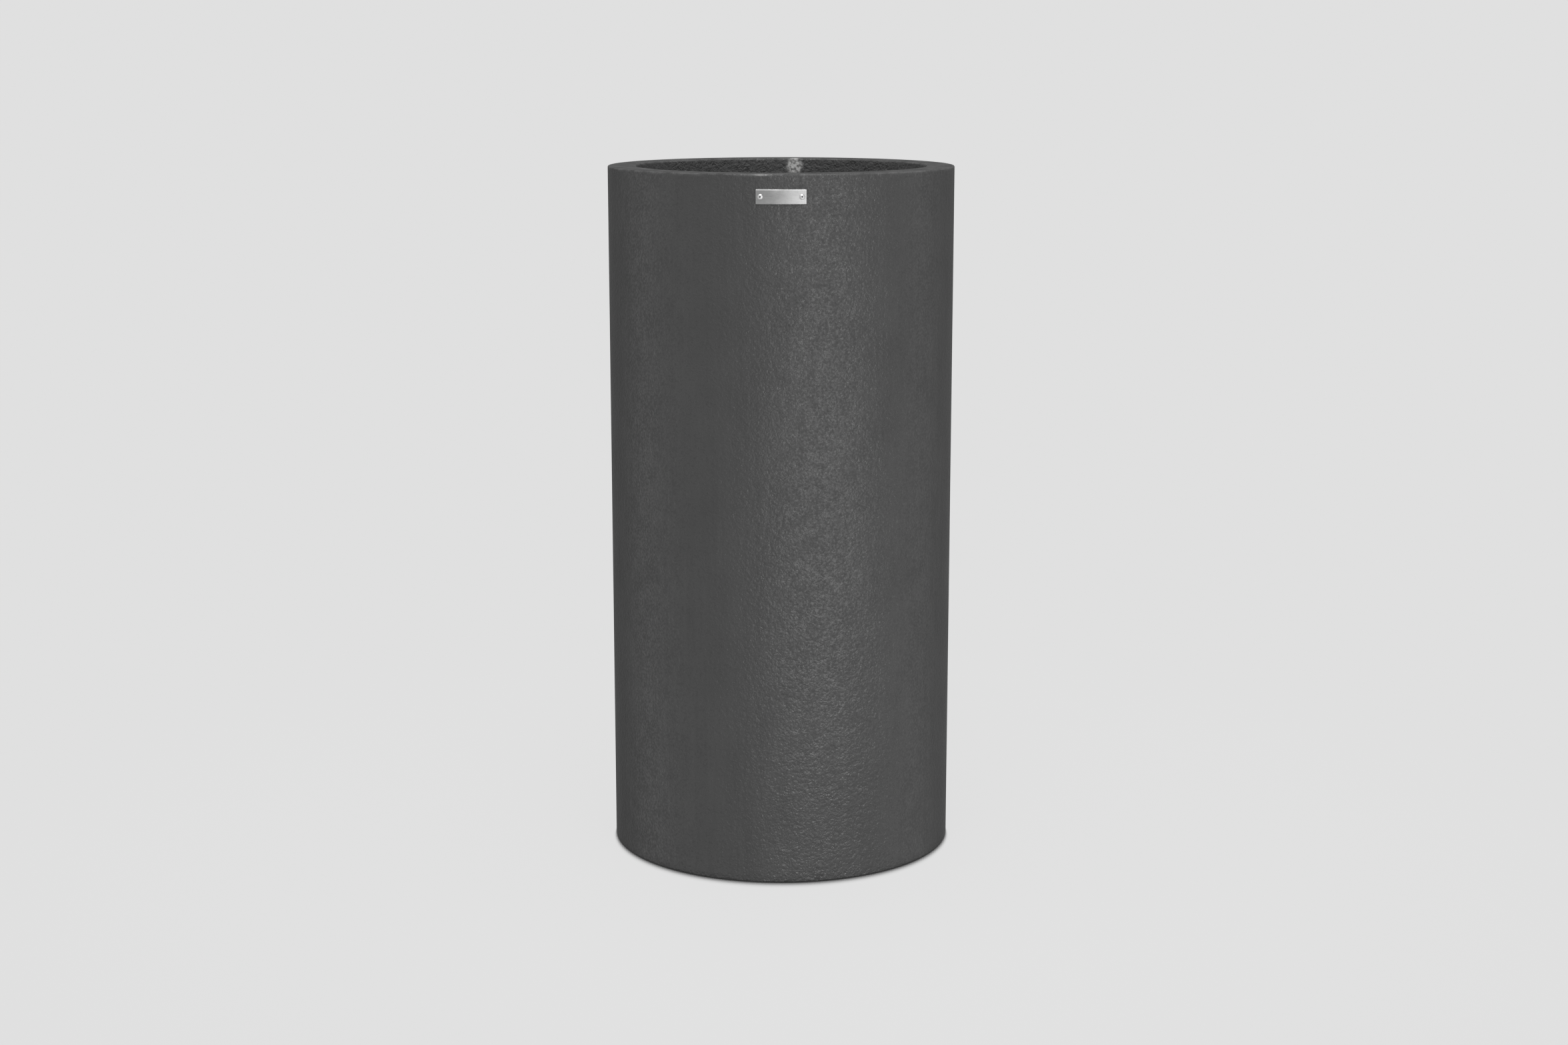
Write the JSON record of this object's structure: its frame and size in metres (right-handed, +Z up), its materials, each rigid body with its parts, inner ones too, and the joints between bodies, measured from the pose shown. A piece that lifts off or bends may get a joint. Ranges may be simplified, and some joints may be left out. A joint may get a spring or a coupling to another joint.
{
  "type": "floor planter",
  "caption": "Tall straight round fiberglass planter with a flat rim turned in round a deep mouth, a bare curved plate riveted under the rim, rubber feet and a lift-out drain plug.",
  "frame": {"origin": "on the ground, under the middle of the planter", "axes": "+Z up, -Y out of the front where the plate is, +X to the right seen from the front"},
  "size_m": [0.3999, 0.4013, 0.8],
  "materials": {
    "laminate": "matt charcoal gel coat with a fine pebbled grain",
    "bonding_paste": "matt filled resin",
    "black_rubber": "matt moulded rubber",
    "plate_metal": "brushed, bare",
    "rivet_metal": "satin",
    "mandrel_steel": "dull steel, broken end"
  },
  "bodies": {
    "planter": {"planter_shell": "laminate", "base_pan": "laminate", "bond_bead": "bonding_paste", "rubber_foot_1": "black_rubber", "rubber_foot_2": "black_rubber", "rubber_foot_3": "black_rubber", "rubber_foot_4": "black_rubber", "name_plate": "plate_metal", "left_rivet": "rivet_metal", "right_rivet": "rivet_metal", "left_mandrel": "mandrel_steel", "right_mandrel": "mandrel_steel"},
    "plug": {"drain_plug": "black_rubber"}
  },
  "joints": [
    {"name": "plug_lift", "type": "slide", "parent": "planter", "child": "plug", "axis": [0, 0, 1], "range_m": [0, 0.82]}
  ]
}
